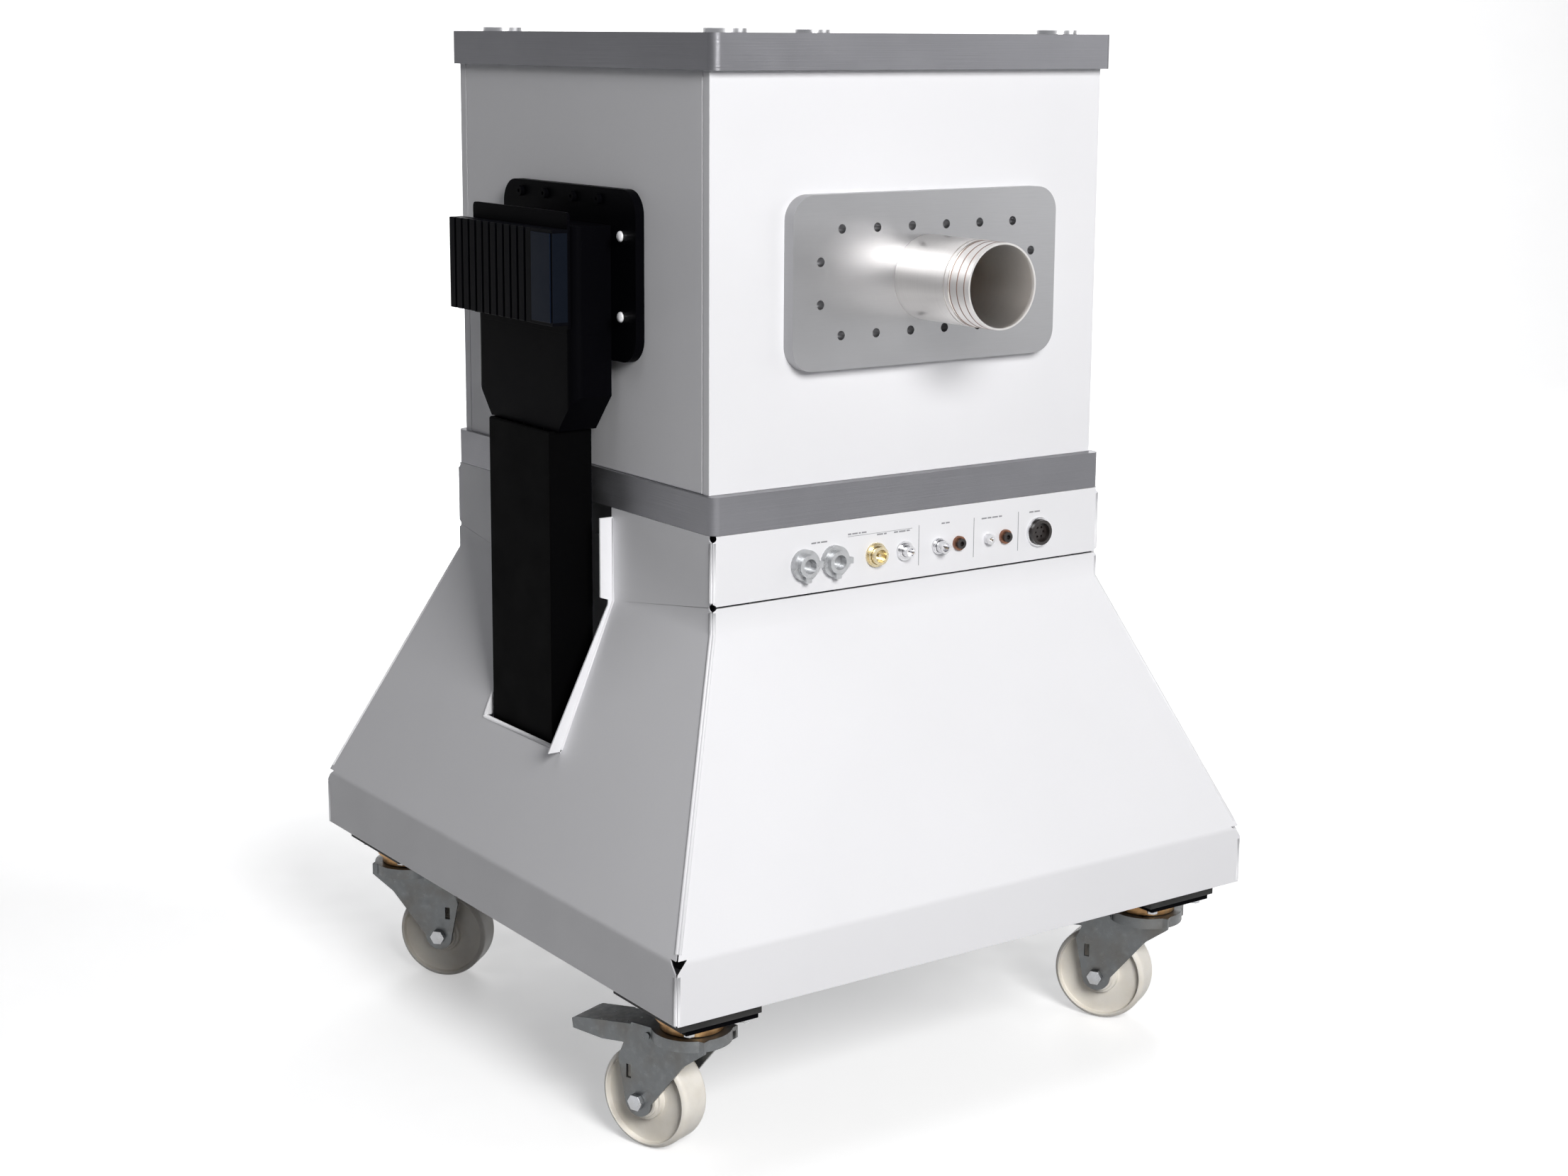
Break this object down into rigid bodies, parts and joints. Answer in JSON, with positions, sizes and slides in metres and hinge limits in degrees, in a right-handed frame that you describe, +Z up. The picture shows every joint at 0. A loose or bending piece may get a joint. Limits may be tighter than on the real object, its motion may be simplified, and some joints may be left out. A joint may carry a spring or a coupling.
{
  "type": "mobile instrument cabinet",
  "caption": "Square instrument box between two thick metal plates on a flared skirt with swivel casters, a front port tube and a ducted side module.",
  "frame": {"origin": "centre of the footprint on the floor", "axes": "+Z up, the face with the port tube looks along -Y, the side module is on -X"},
  "size_m": [0.88, 0.9, 1.302],
  "materials": {
    "frame_steel": "satin",
    "black_rubber": "matte",
    "white_coat": "satin powder coat",
    "brushed_plate": "brushed",
    "zinc_sheet": "satin",
    "satin_cap": "satin",
    "brushed_steel": "brushed",
    "turned_steel": "turned",
    "core_paint": "satin",
    "coil_resin": "gloss",
    "black_coat": "satin",
    "bright_steel": "polished",
    "black_anodised": "anodised",
    "blue_grey_plate": "satin",
    "duct_black": "satin",
    "cable_jacket": "matte",
    "green_plastic": "matte",
    "grey_plastic": "satin",
    "gold_plate": "plated",
    "dark_plastic": "satin",
    "copper_ring": "plated",
    "yellow_zinc": "yellow passivated",
    "zinc_steel": "zinc plated",
    "zinc_fork": "zinc plated",
    "white_nylon": "satin"
  },
  "bodies": {
    "cabinet": {"base_frame": "frame_steel", "caster_pads": "black_rubber", "skirt_left": "white_coat", "skirt_right": "white_coat", "skirt_front": "white_coat", "skirt_rear": "white_coat", "connector_panel": "white_coat", "mid_plate": "brushed_plate", "corner_posts": "zinc_sheet", "box_front": "white_coat", "box_left": "white_coat", "box_right": "white_coat", "box_rear": "white_coat", "top_plate": "brushed_plate", "lift_hole_caps": "satin_cap", "port_flange": "brushed_steel", "port_tube": "turned_steel", "port_gasket": "black_rubber", "core_housing": "core_paint", "core_liner": "coil_resin", "side_flange": "black_coat", "side_flange_screws": "bright_steel", "hood_body": "black_coat", "hood_neck": "black_coat", "hood_face_plate": "black_coat", "heat_sink": "black_anodised", "blank_plate": "blue_grey_plate", "cable_duct": "duct_black", "duct_cables": "cable_jacket", "terminal_block": "green_plastic", "power_supply": "zinc_sheet", "equipment_shelf": "zinc_sheet", "hose_couplings": "grey_plastic", "gold_connector": "gold_plate", "coax_connectors": "bright_steel", "dark_jacks": "dark_plastic", "jack_rings": "copper_ring", "multipin_socket": "dark_plastic", "caster_plates": "yellow_zinc", "caster_bolts": "zinc_steel", "kingpins": "zinc_steel"},
    "caster_fl": {"fork_fl": "zinc_fork", "axle_fl": "zinc_steel"},
    "roller_fl": {"wheel_fl": "white_nylon"},
    "brake_fl": {"pedal_fl": "zinc_fork"},
    "caster_fr": {"fork_fr": "zinc_fork", "axle_fr": "zinc_steel"},
    "roller_fr": {"wheel_fr": "white_nylon"},
    "brake_fr": {"pedal_fr": "zinc_fork"},
    "caster_rl": {"fork_rl": "zinc_fork", "axle_rl": "zinc_steel"},
    "roller_rl": {"wheel_rl": "white_nylon"},
    "brake_rl": {"pedal_rl": "zinc_fork"},
    "caster_rr": {"fork_rr": "zinc_fork", "axle_rr": "zinc_steel"},
    "roller_rr": {"wheel_rr": "white_nylon"},
    "brake_rr": {"pedal_rr": "zinc_fork"}
  },
  "joints": [
    {"name": "swivel_fl", "type": "hinge", "parent": "cabinet", "child": "caster_fl", "pos_m": [-0.36, -0.36, 0.16], "axis": [0, 0, 1], "continuous": true},
    {"name": "roll_fl", "type": "hinge", "parent": "caster_fl", "child": "roller_fl", "pos_m": [-0.37881, -0.30832, 0.0625], "axis": [-0.9397, -0.342, 0], "continuous": true},
    {"name": "brake_press_fl", "type": "hinge", "parent": "caster_fl", "child": "brake_fl", "pos_m": [-0.37368, -0.32241, 0.148], "axis": [-0.9397, -0.342, 0], "range_deg": [0, 6]},
    {"name": "swivel_fr", "type": "hinge", "parent": "cabinet", "child": "caster_fr", "pos_m": [0.36, -0.36, 0.16], "axis": [0, 0, 1], "continuous": true},
    {"name": "roll_fr", "type": "hinge", "parent": "caster_fr", "child": "roller_fr", "pos_m": [0.33418, -0.31144, 0.0625], "axis": [-0.8829, -0.4695, 0], "continuous": true},
    {"name": "brake_press_fr", "type": "hinge", "parent": "caster_fr", "child": "brake_fr", "pos_m": [0.34122, -0.32468, 0.148], "axis": [-0.8829, -0.4695, 0], "range_deg": [0, 6]},
    {"name": "swivel_rl", "type": "hinge", "parent": "cabinet", "child": "caster_rl", "pos_m": [-0.36, 0.36, 0.16], "axis": [0, 0, 1], "continuous": true},
    {"name": "roll_rl", "type": "hinge", "parent": "caster_rl", "child": "roller_rl", "pos_m": [-0.32465, 0.31787, 0.0625], "axis": [0.766, 0.6428, 0], "continuous": true},
    {"name": "brake_press_rl", "type": "hinge", "parent": "caster_rl", "child": "brake_rl", "pos_m": [-0.33429, 0.32936, 0.148], "axis": [0.766, 0.6428, 0], "range_deg": [0, 6]},
    {"name": "swivel_rr", "type": "hinge", "parent": "cabinet", "child": "caster_rr", "pos_m": [0.36, 0.36, 0.16], "axis": [0, 0, 1], "continuous": true},
    {"name": "roll_rr", "type": "hinge", "parent": "caster_rr", "child": "roller_rr", "pos_m": [0.3325, 0.31237, 0.0625], "axis": [0.866, -0.5, 0], "continuous": true},
    {"name": "brake_press_rr", "type": "hinge", "parent": "caster_rr", "child": "brake_rr", "pos_m": [0.34, 0.32536, 0.148], "axis": [0.866, -0.5, 0], "range_deg": [0, 6]}
  ]
}
